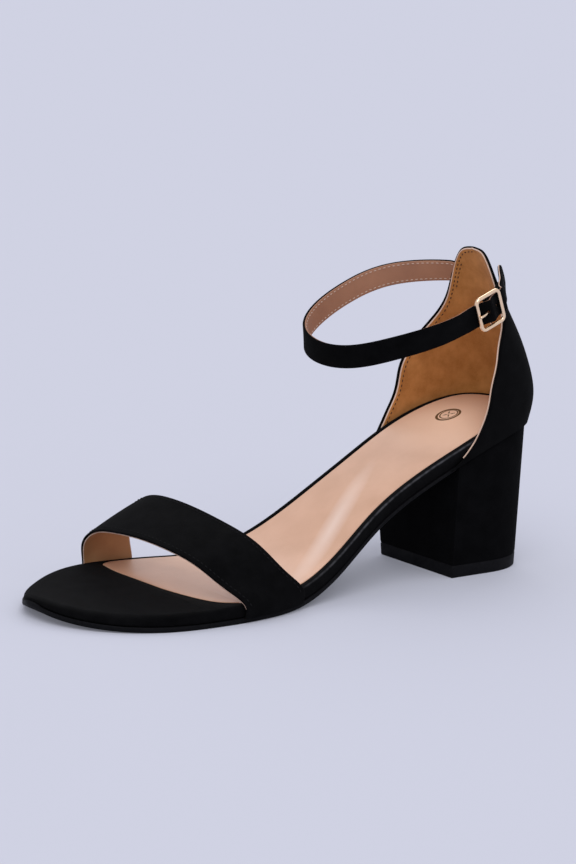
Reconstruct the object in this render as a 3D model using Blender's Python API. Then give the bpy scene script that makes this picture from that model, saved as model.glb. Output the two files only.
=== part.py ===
"""Block heel sandal, left shoe, size 38, standing empty on a floor at z = 0.

Metres, +Z up. The toe points to -Y and the outer (lateral) side is +X. The origin lies on the
heel's ground face. The buckle is fastened and sits on the lateral side.
"""

import math
from collections import namedtuple

import bmesh
import bpy
import numpy as np
from mathutils import Matrix, Vector

GAP = 0.00028                 # air left between pieces that meet

# The board's plan. Stations run from 0 at the back of the heel to 1 at the tip of the toe, and
# lie on a cosine scale, so both ends come out round.
BOARD_LENGTH = 0.234
HEEL_BACK = 0.0248            # y of the back of the board
Section = namedtuple("Section", "station centre half_width height base")
SECTIONS = (                  # height: top of the insole, base: underside of the board
    Section(0.00, -0.0005, 0.0000, 0.0703, 0.0631),
    Section(0.10, -0.0010, 0.0174, 0.0697, 0.0626),
    Section(0.20, -0.0005, 0.0253, 0.0658, 0.0590),
    Section(0.30, -0.0005, 0.0267, 0.0555, 0.0494),
    Section(0.36, -0.0011, 0.0251, 0.0456, 0.0395),
    Section(0.42, -0.0014, 0.0255, 0.0332, 0.0271),
    Section(0.48, -0.0017, 0.0300, 0.0186, 0.0125),
    Section(0.54, -0.0022, 0.0356, 0.0092, 0.0037),
    Section(0.60, -0.0028, 0.0411, 0.0077, 0.0025),
    Section(0.66, -0.0047, 0.0440, 0.0072, 0.0023),
    Section(0.72, -0.0055, 0.0434, 0.0069, 0.0023),
    Section(0.80, -0.0046, 0.0349, 0.0067, 0.0027),
    Section(0.90, -0.0045, 0.0174, 0.0081, 0.0043),
    Section(1.00, -0.0072, 0.0000, 0.0104, 0.0072),
)

# The layers of the sole, from the foot down
INSOLE_THICK = 0.0012
RIM_DROP = 0.0001             # the board's rim lies this far under the top of the insole
OUTSOLE_THICK = 0.0021
WAIST_THICK = 0.0014          # the outsole is skived thinner towards the heel
OUTSOLE_PROUD = 0.0006
RIM = 0.0034                  # wrapped rim left bare around the insole
INSOLE_SIDES_TO = -0.1395     # y where the insole's sides turn into its rounded front
Corner = namedtuple("Corner", "lateral_x lateral_y medial_x medial_y")
INSOLE_FRONT = (              # the rounded front edge, from its sides to its middle
    Corner(0.0322, -0.1440, -0.0450, -0.1465),
    Corner(0.0271, -0.1478, -0.0443, -0.1520),
    Corner(0.0171, -0.1509, -0.0402, -0.1536),
    Corner(0.0055, -0.1530, -0.0317, -0.1546),
    Corner(0.0000, -0.1536, -0.0226, -0.1544),
)
Rounding = namedtuple("Rounding", "station inward share")
BOARD_ROUNDING = (            # its upper edge: how far in, and what share of the side it takes
    Rounding(0.00, 0.0013, 0.13),
    Rounding(0.68, 0.0015, 0.18),
    Rounding(0.82, 0.0048, 0.78),
    Rounding(1.00, 0.0045, 0.75),
)
BOARD_FOOT = 0.0005           # rounding of its lower edge

# Heel block and top lift
LIFT_HEIGHT = 0.0054
HEEL_HALF_WIDTH = 0.0239      # at the ground
HEEL_FRONT = -0.0214          # y of the breast at the ground
HEEL_REAR = 0.0250
HEEL_ROUND_FROM = -0.0020     # the sides are straight in front of this y
HEEL_ROUNDNESS = 2.35         # exponent of the rounded back
BREAST_TOP = -0.0238          # y of the breast under the board
HEEL_TOP_PROUD = 0.0018       # heel top beyond the board's outline

# The counter wraps the back of the foot. Its sections follow the board's outline.
WALL = 0.0020
Girth = namedtuple("Girth", "height width_factor shift")
GIRTHS = (                    # shift moves a section back (+) or forward (-)
    Girth(0.056, 1.000, -0.0004),
    Girth(0.0625, 1.000, 0.0010),
    Girth(0.0685, 1.000, 0.0028),
    Girth(0.075, 1.000, 0.0036),
    Girth(0.081, 0.990, 0.0027),
    Girth(0.088, 0.965, 0.0005),
    Girth(0.100, 0.895, -0.0045),
    Girth(0.114, 0.830, -0.0124),
    Girth(0.128, 0.780, -0.0196),
    Girth(0.138, 0.765, -0.0250),
)
Edge = namedtuple("Edge", "height medial lateral")
COUNTER_EDGE = (              # front edge and top line, as stations on either side
    Edge(0.0490, 0.3130, 0.3130),
    Edge(0.0560, 0.2960, 0.2850),
    Edge(0.0630, 0.2870, 0.2700),
    Edge(0.0720, 0.2800, 0.2640),
    Edge(0.0820, 0.2720, 0.2540),
    Edge(0.0910, 0.2470, 0.2290),
    Edge(0.0990, 0.2110, 0.2030),
    Edge(0.1060, 0.1690, 0.1670),
    Edge(0.1125, 0.1350, 0.1360),
    Edge(0.1190, 0.1120, 0.1150),
    Edge(0.1258, 0.0910, 0.0970),
    Edge(0.1313, 0.0690, 0.0780),
    Edge(0.1354, 0.0410, 0.0510),
    Edge(0.1366, 0.0040, 0.0040),
)

# Ankle strap: a flat strap from the counter's medial edge round the ankle to the buckle
Place = namedtuple("Place", "height station")
STRAP_WIDTH = 0.0098
STRAP_THICK = 0.0015
Through = namedtuple("Through", "x y z")
STRAP_LOOP = (
    Through(-0.0155, 0.0031, 0.1243),
    Through(-0.0273, -0.0174, 0.1226),
    Through(-0.0331, -0.0380, 0.1153),
    Through(-0.0318, -0.0555, 0.1066),
    Through(-0.0234, -0.0680, 0.0994),
    Through(-0.0088, -0.0718, 0.0954),
    Through(0.0072, -0.0676, 0.0955),
    Through(0.0201, -0.0554, 0.1000),
    Through(0.0277, -0.0362, 0.1061),
)
STRAP_ROOT = (Place(0.1248, 0.046), Place(0.1243, 0.078))   # its sewn end in the counter's wall
ROOT_LENGTH = 0.0120          # this much of it leans with the wall
UPRIGHT_FROM = 0.0420         # and from here on it stands upright, its top a little further out
FLARE = 0.09
FLARE_LENGTH = 0.0300         # the flare grows over this length
TAIL_LEAN = 0.30              # beyond the buckle the strap's upper edge leans inward
STRAP_TAIL = (                # beyond the buckle the free end stands off the counter
    Through(0.0215, 0.0006, 0.1182),
    Through(0.0177, 0.0040, 0.1203),
    Through(0.0134, 0.0072, 0.1226),
    Through(0.0066, 0.0125, 0.1266),
)
HOLE_RADIUS = 0.00095
HOLE_SPACING = 0.0070
HOLE_COUNT = 4                # the prong is through the first one

# Buckle: its own axes are along the strap (to the back), across its width (up) and out
BUCKLE_CENTRE = Vector((0.0280, -0.0114, 0.1142))
BUCKLE_ALONG = Vector((-0.05, 0.93, 0.36))
FRAME_LENGTH = 0.0146
FRAME_HEIGHT = 0.0154
FRAME_BAR = 0.0017            # thickness of the frame's wire
FRAME_CORNER = 0.0020
MIDDLE_BAR = 0.0009
MIDDLE_DROP = 0.0017          # the middle bar lies this far in from the frame
PRONG = 0.0008
FIT = 0.00012                 # running clearance on the middle bar
TAB_THICK = 0.0011
TAB_LAYER = 0.00055
TAB_WIDTH = 0.0092
TAB_SLOT = 0.0015
Weave = namedtuple("Weave", "along out")
STRAP_IN_BUCKLE = (           # under the front bar, over the middle bar, under the rear bar
    Weave(-0.0112, -0.0020),
    Weave(-0.0064, -0.0018),
    Weave(-0.0024, -0.0004),
    Weave(0.0000, 0.0008),
    Weave(0.0024, -0.0004),
    Weave(0.0064, -0.0018),
    Weave(0.0106, -0.0025),
)
IN_BUCKLE_FROM = 0.0098       # within this reach of its centre the strap is square to the frame
IN_BUCKLE_TO = 0.0165
HOLE_AT = -0.0016             # along the buckle, where the prong comes through the strap
PRONG_RUN = (                 # from the top of its loop to its tip on the front bar
    Weave(-0.0009, -0.00055),
    Weave(-0.0020, 0.00035),
    Weave(-0.0034, 0.00115),
    Weave(-0.0050, 0.00150),
    Weave(-0.0064, 0.00155),
    Weave(-0.0073, 0.00140),
)
TAB_RUN = (                   # from the loop on the middle bar back towards the counter
    Weave(0.0009, -0.00250),
    Weave(0.0052, -0.00340),
    Weave(0.0098, -0.00560),
    Weave(0.0146, -0.00860),
)
TAB_IN_WALL = Place(0.1150, 0.085)

# Toe strap: the outer face's front and rear edges, from the lateral to the medial side
TOE_WALL = 0.0016
Arch = namedtuple("Arch", "front_x front_y front_z rear_x rear_y rear_z")
TOE_ARCH = (
    Arch(0.0344, -0.1473, 0.0145, 0.0331, -0.1155, 0.0164),
    Arch(0.0237, -0.1540, 0.0222, 0.0222, -0.1220, 0.0263),
    Arch(0.0100, -0.1591, 0.0264, 0.0078, -0.1276, 0.0324),
    Arch(-0.0047, -0.1624, 0.0279, -0.0080, -0.1322, 0.0362),
    Arch(-0.0200, -0.1635, 0.0269, -0.0246, -0.1353, 0.0376),
    Arch(-0.0351, -0.1631, 0.0239, -0.0397, -0.1366, 0.0341),
    Arch(-0.0471, -0.1612, 0.0161, -0.0493, -0.1372, 0.0212),
)
Foot = namedtuple("Foot", "side front_y rear_y")
TOE_FEET = (Foot(1, -0.1410, -0.1090), Foot(-1, -0.1580, -0.1362))
TOE_CROWN = 0.0007            # the strap bulges this much between its edges

# Fineness of the solids
SOLE_STEPS = 44
HEEL_STEPS = 18
COUNTER_ROWS = 20
COUNTER_COLUMNS = 28
TOE_STEPS = 44
TOE_COLUMNS = 4
LOOP_STEPS = 5
TUBE_SIDES = 8


def natural_cubic(knots, values):
    """Return a function for the smooth curve through the values, straight at both ends."""
    knots, values = np.asarray(knots, float), np.asarray(values, float)
    count, span = len(knots), np.diff(knots)
    matrix, right = np.eye(count), np.zeros(values.shape)
    for i in range(1, count - 1):
        matrix[i, i - 1:i + 2] = span[i - 1], 2 * (span[i - 1] + span[i]), span[i]
        right[i] = 6 * ((values[i + 1] - values[i]) / span[i]
                        - (values[i] - values[i - 1]) / span[i - 1])
    bend = np.linalg.solve(matrix, right)

    def curve(at):
        at = np.clip(np.atleast_1d(np.asarray(at, float)), knots[0], knots[-1])
        i = np.clip(np.searchsorted(knots, at, side="right") - 1, 0, count - 2)
        h = span[i]
        a, b = (knots[i + 1] - at) / h, (at - knots[i]) / h
        if values.ndim > 1:
            a, b, h = a[:, None], b[:, None], h[:, None]
        return (a * values[i] + b * values[i + 1]
                + ((a ** 3 - a) * bend[i] + (b ** 3 - b) * bend[i + 1]) * h * h / 6)

    return curve


def column(table, name):
    """One named column of a table."""
    return [getattr(row, name) for row in table]


def through_points(points, steps):
    """Points on a smooth curve through the given ones, with that many steps in each span."""
    points = np.asarray(points, float)
    chord = np.linalg.norm(np.diff(points, axis=0), axis=1)
    knots = np.concatenate([[0.0], np.cumsum(np.sqrt(chord))])
    steps = np.broadcast_to(steps, len(chord))
    at = [knots[0]]
    for i, count in enumerate(steps):
        at.extend(np.linspace(knots[i], knots[i + 1], count + 1)[1:])
    return natural_cubic(knots, points)(at)


STATIONS = column(SECTIONS, "station")
centre_at = natural_cubic(STATIONS, column(SECTIONS, "centre"))
half_width_at = natural_cubic(STATIONS, column(SECTIONS, "half_width"))
height_at = natural_cubic(STATIONS, column(SECTIONS, "height"))
base_at = natural_cubic(STATIONS, column(SECTIONS, "base"))
width_factor_at = natural_cubic(column(GIRTHS, "height"), column(GIRTHS, "width_factor"))
shift_at = natural_cubic(column(GIRTHS, "height"), column(GIRTHS, "shift"))


def station_y(station):
    """How far along the shoe a station lies."""
    return HEEL_BACK - BOARD_LENGTH * (1 - np.cos(math.pi * station)) / 2


def y_station(y):
    """The station of a place along the shoe."""
    return np.arccos(np.clip(1 - 2 * (HEEL_BACK - y) / BOARD_LENGTH, -1, 1)) / math.pi


def outline(station, side, offset):
    """Plan points (x, y) of the board's outline on one side, moved out by the offset."""
    station = np.atleast_1d(np.asarray(station, float))
    step = 1e-4
    after, before = np.clip(station + step, 0, 1), np.clip(station - step, 0, 1)
    x = centre_at(station) + side * half_width_at(station)
    run_x = (centre_at(after) + side * half_width_at(after)
             - centre_at(before) - side * half_width_at(before))
    run_y = station_y(after) - station_y(before)
    length = np.hypot(run_x, run_y)
    return np.stack([x - side * run_y / length * offset,
                     station_y(station) + side * run_x / length * offset], axis=1)


def insole_top(y):
    return height_at(y_station(y))


def board_top(y):
    return insole_top(y) - RIM_DROP


def board_bottom(y):
    return base_at(y_station(y))


def outsole_top(y):
    return board_bottom(y) - GAP


def outsole_bottom(y):
    """The tread: thinner in the waist, and flat on the floor under the ball of the foot."""
    waist = np.clip((y - station_y(0.58)) / (BREAST_TOP - station_y(0.58)), 0, 1)
    thick = OUTSOLE_THICK + (WAIST_THICK - OUTSOLE_THICK) * waist
    return np.maximum(outsole_top(y) - thick, 0.0)


def material(name, colour, roughness, metallic=0.0):
    finish = bpy.data.materials.new(name)
    finish.use_nodes = True
    shader = finish.node_tree.nodes["Principled BSDF"]
    shader.inputs["Base Color"].default_value = (*colour, 1.0)
    shader.inputs["Roughness"].default_value = roughness
    shader.inputs["Metallic"].default_value = metallic
    return finish


def add_object(name, points, faces, finish=None, smooth_angle=40):
    """A closed mesh object with its faces pointing out."""
    mesh = bpy.data.meshes.new(name)
    mesh.from_pydata([tuple(map(float, p)) for p in points], [], faces)
    shape = bmesh.new()
    shape.from_mesh(mesh)
    bmesh.ops.remove_doubles(shape, verts=shape.verts, dist=1e-6)
    bmesh.ops.recalc_face_normals(shape, faces=shape.faces)
    shape.to_mesh(mesh)
    shape.free()
    mesh.shade_smooth()
    mesh.set_sharp_from_angle(angle=math.radians(smooth_angle))
    if finish:
        mesh.materials.append(finish)
    made = bpy.data.objects.new(name, mesh)
    bpy.context.collection.objects.link(made)
    return made


def rows_solid(rings):
    """Points and faces of a solid from stacked rings, each a left and a right row of points."""
    points, faces = [], []
    count = len(rings[0][0])
    for left, right in rings:
        points.extend(right)
        points.extend(left)
    size = 2 * count
    loop = list(range(count)) + list(range(size - 1, count - 1, -1))
    for k in range(len(rings) - 1):
        low, high = k * size, (k + 1) * size
        for a, b in zip(loop, loop[1:] + loop[:1]):
            faces.append((low + a, low + b, high + b, high + a))
    for base in (0, (len(rings) - 1) * size):
        for i in range(count - 1):
            faces.append((base + i, base + i + 1, base + count + i + 1, base + count + i))
    return points, faces


def plate(stations, layers):
    """Rings for a sheet that follows the sole: each layer is an offset and a height function."""
    rings = []
    for offset, height in layers:
        pair = []
        for side in (-1, 1):
            plan = outline(stations, side, offset)
            pair.append(np.column_stack([plan, height(plan[:, 1])]))
        rings.append(pair)
    return rings


def sole_stations(first=0.0, last=1.0):
    """The stations that all layers of the sole share, cut to a stretch of the shoe."""
    blend = (1 - np.cos(np.linspace(0, math.pi, SOLE_STEPS + 1))) / 2
    even = np.linspace(0, 1, SOLE_STEPS + 1)
    shared = 0.4 * blend + 0.6 * even
    inside = shared[(shared > first + 0.004) & (shared < last - 0.004)]
    return np.concatenate([[first], inside, [last]])


def shell_faces(rows, columns):
    """Faces of a wall made of an outer and an inner grid of points, closed along its edges."""
    faces = []
    inner = rows * columns
    for i in range(rows - 1):
        for j in range(columns - 1):
            a = i * columns + j
            faces.append((a, a + 1, a + columns + 1, a + columns))
            faces.append((inner + a, inner + a + columns, inner + a + columns + 1, inner + a + 1))
    border = [j for j in range(columns)]
    border += [i * columns + columns - 1 for i in range(1, rows)]
    border += [(rows - 1) * columns + j for j in range(columns - 2, -1, -1)]
    border += [i * columns for i in range(rows - 2, 0, -1)]
    for a, b in zip(border, border[1:] + border[:1]):
        faces.append((a, b, inner + b, inner + a))
    return faces


def wall_object(name, outer, inner, finish=None):
    """A wall between two grids of points."""
    rows, columns = outer.shape[:2]
    points = np.concatenate([outer.reshape(-1, 3), inner.reshape(-1, 3)])
    return add_object(name, points, shell_faces(rows, columns), finish)


def ribbon_grids(path, up, width, thick):
    """Outer and inner grids of a flat strap along a path, and its frames."""
    along = np.gradient(path, axis=0)
    along /= np.linalg.norm(along, axis=1)[:, None]
    across = up - np.sum(up * along, axis=1)[:, None] * along
    across /= np.linalg.norm(across, axis=1)[:, None]
    out = np.cross(along, across)
    edges = np.stack([path - across * width / 2, path + across * width / 2], axis=1)
    half = out[:, None, :] * thick / 2
    return edges + half, edges - half, out


def tube(points, across, radius, closed=False, sides=TUBE_SIDES):
    """Points and faces of a round bar along a path that lies in one plane."""
    points = np.asarray(points, float)
    across = np.asarray(across, float)
    if closed:
        run = np.roll(points, -1, axis=0) - np.roll(points, 1, axis=0)
    else:
        run = np.gradient(points, axis=0)
    run /= np.linalg.norm(run, axis=1)[:, None]
    turn = (np.arange(sides) + 0.5) * 2 * math.pi / sides
    ring_points, faces = [], []
    for point, way in zip(points, run):
        aside = np.cross(across, way)
        for angle in turn:
            ring_points.append(point + radius * (math.cos(angle) * across
                                                 + math.sin(angle) * aside))
    count = len(points)
    for k in range(count if closed else count - 1):
        for s in range(sides):
            a, b = k * sides + s, k * sides + (s + 1) % sides
            c, d = (k + 1) % count * sides + (s + 1) % sides, (k + 1) % count * sides + s
            faces.append((a, b, c, d))
    if not closed:
        faces.append(tuple(range(sides)))
        faces.append(tuple((count - 1) * sides + s for s in range(sides)))
    return ring_points, faces


def combine(target, tool, operation, solver="EXACT"):
    """Apply a Boolean with a tool object, which is then removed."""
    change = target.modifiers.new(operation.lower(), "BOOLEAN")
    change.operation = operation
    change.solver = solver
    change.object = tool
    bpy.context.view_layer.update()
    evaluated = target.evaluated_get(bpy.context.evaluated_depsgraph_get())
    mesh = bpy.data.meshes.new_from_object(evaluated)
    target.modifiers.clear()
    target.data = mesh
    mesh.name = target.name
    bpy.data.objects.remove(tool)


def board_layers(stations):
    """The wrapped board from its underside to its rim, rounded more towards the toe."""
    known = column(BOARD_ROUNDING, "station")
    inward = np.interp(stations, known, column(BOARD_ROUNDING, "inward"))
    share = np.interp(stations, known, column(BOARD_ROUNDING, "share"))
    layers = [(-BOARD_FOOT, board_bottom), (0.0, lambda y: board_bottom(y) + BOARD_FOOT)]
    for turn in np.radians((0, 30, 60, 90)):
        def height(y, fall=share * (1 - math.sin(turn))):
            return board_top(y) - fall * (board_top(y) - board_bottom(y))
        layers.append((inward * (math.cos(turn) - 1), height))
    return layers


def insole_rings(layers):
    """Rings in the insole's outline: its sides follow the board, its front goes by corners."""
    stations = sole_stations(0, float(y_station(INSOLE_SIDES_TO)))
    rings = plate(stations, [(offset - RIM, height) for offset, height in layers])
    for (offset, height), pair in zip(layers, rings):
        for i, sign, name in ((0, -1, "medial"), (1, 1, "lateral")):
            x = np.array(column(INSOLE_FRONT, name + "_x")) + sign * offset
            y = np.array(column(INSOLE_FRONT, name + "_y")) - offset
            pair[i] = np.vstack([pair[i], np.column_stack([x, y, height(y)])])
    return rings


def make_sole(black, tan, rubber):
    """Outsole, wrapped board and insole: three sheets that follow the last."""
    breast = float(y_station(BREAST_TOP - GAP))
    layers = [(OUTSOLE_PROUD - 0.0005, outsole_bottom),
              (OUTSOLE_PROUD, lambda y: outsole_bottom(y) + 0.0004),
              (OUTSOLE_PROUD, outsole_top)]
    add_object("outsole", *rows_solid(plate(sole_stations(breast, 1), layers)), rubber)

    stations = sole_stations()
    board = add_object("insole_board", *rows_solid(plate(stations, board_layers(stations))), black)
    layers = [(GAP, lambda y: insole_top(y) - INSOLE_THICK - GAP),
              (GAP, lambda y: insole_top(y) + INSOLE_THICK)]
    recess = add_object("recess_cut", *rows_solid(insole_rings(layers)))
    combine(board, recess, "DIFFERENCE", "MANIFOLD")

    layers = [(0.0, lambda y: insole_top(y) - INSOLE_THICK),
              (0.0, lambda y: insole_top(y) - INSOLE_THICK * 0.35),
              (-INSOLE_THICK * 0.4, insole_top)]
    add_object("insole", *rows_solid(insole_rings(layers)), tan)


def heel_rows(fraction, height):
    """Left and right rows of the heel between its ground face (0) and its top (1)."""
    stations = np.linspace(0, float(y_station(BREAST_TOP)), HEEL_STEPS + 1)
    pair = []
    for side in (-1, 1):
        top = outline(stations, side, HEEL_TOP_PROUD)
        share = (top[:, 1] - BREAST_TOP) / (top[0, 1] - BREAST_TOP)
        low_y = HEEL_FRONT + share * (HEEL_REAR - HEEL_FRONT)
        beyond = np.clip((low_y - HEEL_ROUND_FROM) / (HEEL_REAR - HEEL_ROUND_FROM), 0, 1)
        low_x = side * HEEL_HALF_WIDTH * (1 - beyond ** HEEL_ROUNDNESS) ** (1 / HEEL_ROUNDNESS)
        x = low_x + fraction * (top[:, 0] - low_x)
        y = low_y + fraction * (top[:, 1] - low_y)
        pair.append(np.column_stack([x, y, height(top[:, 1])]))
    return pair


def make_heel(black, rubber):
    """The covered block and the lift that it stands on."""
    low = LIFT_HEIGHT + GAP
    full = float(board_bottom(BREAST_TOP)[0]) - GAP
    lift_fraction = LIFT_HEIGHT / full
    steps = (0.0, 0.5, 1.0)
    rings = []
    for step in steps:
        fraction = lift_fraction + (1 - lift_fraction) * step
        rings.append(heel_rows(fraction, lambda y: low + step * (board_bottom(y) - GAP - low)))
    add_object("heel_block", *rows_solid(rings), black)

    rings = [heel_rows(0.0, lambda y: 0 * y), heel_rows(lift_fraction, lambda y: 0 * y + LIFT_HEIGHT)]
    add_object("top_lift", *rows_solid(rings), rubber)


def counter_point(station, side, height, offset):
    """A point of the counter's surface, that far outside the board's outline."""
    plan = outline(station, side, offset)
    x = plan[:, 0] * width_factor_at(height)
    return np.column_stack([x, plan[:, 1] + shift_at(height), height])


def counter_grid(offset):
    """Rows of points from the bottom edge up to the peak, each from medial to lateral."""
    knots = np.arange(len(COUNTER_EDGE))
    edge = natural_cubic(knots, np.array(COUNTER_EDGE))
    rows = edge(np.linspace(0, knots[-1], COUNTER_ROWS))
    floor, peak = COUNTER_EDGE[0].height, COUNTER_EDGE[-1].height
    spread = np.linspace(-1, 1, COUNTER_COLUMNS + 1)
    side = np.where(spread < 0, -1, 1)
    bottom = []
    for s, d in zip(np.abs(spread) * COUNTER_EDGE[0].medial, side):
        seat = board_bottom(station_y(s))
        bottom.append(board_bottom(counter_point(s, d, seat, offset)[0, 1])[0])
    bottom = np.array(bottom)
    grid = []
    for height, medial, lateral in rows:
        stations = np.abs(spread) * np.where(spread < 0, medial, lateral)
        rise = (peak - height) / (peak - floor)
        heights = height + rise * (bottom - floor)
        line = [counter_point(s, d, np.array([h]), offset)[0]
                for s, d, h in zip(stations, side, heights)]
        grid.append(line)
    return np.array(grid)


def buckle_axes():
    """The buckle's axes: along the strap, across it and out."""
    along = BUCKLE_ALONG.normalized()
    up = Vector((0, 0, 1))
    across = (up - up.dot(along) * along).normalized()
    return along, across, along.cross(across)


def buckle_matrix():
    along, across, out = buckle_axes()
    turn = Matrix((along, across, out)).transposed()
    return Matrix.Translation(BUCKLE_CENTRE) @ turn.to_4x4()


def in_buckle(along, out, across=0.0):
    """World position of a place in the buckle."""
    return np.array(buckle_matrix() @ Vector((along, across, out)))


def in_wall(edge, side, rise=0.0):
    """A point in the middle of the counter's wall."""
    return counter_point(edge.station, side, np.array([edge.height + rise]), GAP + WALL / 2)[0]


def wall_up(edge, side):
    """Up along the counter's wall, which leans forward."""
    run = in_wall(edge, side, 0.003) - in_wall(edge, side, -0.003)
    return run / np.linalg.norm(run)


def strap_path():
    """The ankle strap's middle line, from inside the counter's medial edge to its tip."""
    root = [in_wall(edge, -1) for edge in STRAP_ROOT]
    loop = [list(p) for p in STRAP_LOOP]
    woven = [in_buckle(w.along, w.out) for w in STRAP_IN_BUCKLE]
    tail = [list(p) for p in STRAP_TAIL]
    steps = ([2] * len(root) + [LOOP_STEPS] * (len(loop) - 1) + [LOOP_STEPS]
             + [3] * (len(woven) - 1) + [4] + [4] * (len(tail) - 1))
    return through_points(root + loop + woven + tail, steps)


def strap_up(path):
    """Which way the strap's width points: along the counter's wall at its root, then upright,
    and square to the frame inside the buckle."""
    inverse, across = buckle_matrix().inverted(), np.array(buckle_axes()[1])
    away = np.array([(inverse @ Vector(p)).length for p in path])
    share = np.clip((IN_BUCKLE_TO - away) / (IN_BUCKLE_TO - IN_BUCKLE_FROM), 0, 1)[:, None]
    up = np.array([0.0, 0.0, 1.0]) * (1 - share) + across * share
    run = np.concatenate([[0.0], np.cumsum(np.linalg.norm(np.diff(path, axis=0), axis=1))])
    lean = np.clip((UPRIGHT_FROM - run) / (UPRIGHT_FROM - ROOT_LENGTH), 0, 1)[:, None]
    flare = FLARE * np.clip((run - UPRIGHT_FROM) / FLARE_LENGTH, 0, 1)
    flare = np.where(run > run[np.argmin(away)], -TAIL_LEAN, flare)[:, None] * (1 - share)
    along = np.gradient(path, axis=0)
    along /= np.linalg.norm(along, axis=1)[:, None]
    up = up + np.cross(along, up) * flare
    return up * (1 - lean) + wall_up(STRAP_ROOT[1], -1) * lean


def hole_places(path, out):
    """Centres and directions of the punched holes, the first where the prong comes through."""
    matrix = buckle_matrix().inverted()
    local = np.array([matrix @ Vector(p) for p in path])
    near = np.abs(local[:, 2]) + np.abs(local[:, 1]) < 0.006
    length = np.concatenate([[0.0], np.cumsum(np.linalg.norm(np.diff(path, axis=0), axis=1))])
    start = np.interp(HOLE_AT, local[near, 0], length[near])
    places = []
    for k in range(HOLE_COUNT):
        at = start + k * HOLE_SPACING
        centre = [np.interp(at, length, path[:, c]) for c in range(3)]
        way = [np.interp(at, length, out[:, c]) for c in range(3)]
        places.append((Vector(centre), Vector(way).normalized()))
    return places


def make_tab():
    """The short loop from the counter's lateral edge round the buckle's middle bar."""
    along, across, out = buckle_axes()
    run = [in_buckle(w.along, w.out) for w in TAB_RUN]
    run.append(in_wall(TAB_IN_WALL, 1))
    path = through_points(run, 4)
    lean = np.clip(np.linspace(-1, 0.6, len(path)), 0, 1)[:, None]
    up = np.array(across) * (1 - lean) + wall_up(TAB_IN_WALL, 1) * lean
    outer, inner, _ = ribbon_grids(path, up, TAB_WIDTH, TAB_THICK)
    tab = wall_object("tab_cut", outer, inner)
    ends = [in_buckle(0, -MIDDLE_DROP, a) for a in (-TAB_WIDTH / 2, TAB_WIDTH / 2)]
    bore = MIDDLE_BAR / 2 + FIT
    roll = add_object("roll_cut", *tube(ends, along, bore + TAB_LAYER, sides=16))
    combine(tab, roll, "UNION")
    ends = [in_buckle(0, -MIDDLE_DROP, a) for a in (-TAB_WIDTH, TAB_WIDTH)]
    combine(tab, add_object("bore_cut", *tube(ends, along, bore, sides=12)), "DIFFERENCE")
    bpy.ops.mesh.primitive_cube_add(size=1)
    slot = bpy.context.object
    slot.matrix_world = (buckle_matrix() @ Matrix.Translation((0.0001, 0, -MIDDLE_DROP))
                         @ Matrix.Diagonal((0.0040, TAB_SLOT, 0.0036, 1)))
    combine(tab, slot, "DIFFERENCE")
    return tab


def make_counter(black):
    """Counter, ankle strap and buckle tab: one upper, joined where they meet."""
    counter = wall_object("counter_and_ankle_strap", counter_grid(GAP + WALL),
                          counter_grid(GAP), black)
    path = strap_path()
    outer, inner, out = ribbon_grids(path, strap_up(path), STRAP_WIDTH, STRAP_THICK)
    strap = wall_object("strap_cut", outer, inner)
    for centre, way in hole_places(path, out):
        reach = way * STRAP_THICK * 1.2
        side = way.orthogonal().normalized()
        pin = tube([centre - reach, centre + reach], side, HOLE_RADIUS, sides=12)
        combine(strap, add_object("hole_cut", *pin), "DIFFERENCE")
    combine(counter, strap, "UNION")
    combine(counter, make_tab(), "UNION")


def toe_strap_grids():
    """Outer and inner faces of the toe strap, from its lateral foot over the toes."""
    spread = np.linspace(0, 1, TOE_COLUMNS + 1)
    lines = []
    for share in spread:
        points = []
        for foot in TOE_FEET:
            y = foot.front_y + share * (foot.rear_y - foot.front_y)
            x, y = outline(y_station(y), foot.side, GAP + TOE_WALL + 0.0001)[0]
            low = float(outsole_top(y)[0]) + GAP
            rim = float(board_top(y)[0])
            points.append([(x, y, low), (x, y, rim)])
        crown = TOE_CROWN * 4 * share * (1 - share)
        middle = []
        for row in TOE_ARCH:
            front = np.array([row.front_x, row.front_y, row.front_z])
            rear = np.array([row.rear_x, row.rear_y, row.rear_z])
            middle.append(tuple(front + share * (rear - front) + np.array([0, 0, crown])))
        lines.append(through_points(points[0] + middle + points[1][::-1],
                                    TOE_STEPS // (len(TOE_ARCH) + 3)))
    outer = np.stack(lines, axis=1)
    normal = np.cross(np.gradient(outer, axis=0), np.gradient(outer, axis=1))
    normal /= np.linalg.norm(normal, axis=2)[:, :, None]
    middle = outer.mean(axis=(0, 1)) - np.array([0, 0, 0.01])
    flip = np.sign(np.sum(normal * (outer - middle), axis=2))[:, :, None]
    return outer, outer - normal * flip * TOE_WALL


def rounded_frame():
    """The frame's middle line in its own plane, with round corners."""
    half_x, half_y = (FRAME_LENGTH - FRAME_BAR) / 2, (FRAME_HEIGHT - FRAME_BAR) / 2
    radius = FRAME_CORNER
    points = []
    for quarter, (sx, sy) in enumerate(((1, 1), (-1, 1), (-1, -1), (1, -1))):
        for k in range(4):
            angle = math.radians(90 * quarter + 30 * k)
            points.append((sx * (half_x - radius) + radius * math.cos(angle),
                           sy * (half_y - radius) + radius * math.sin(angle), 0.0))
    return points


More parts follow.
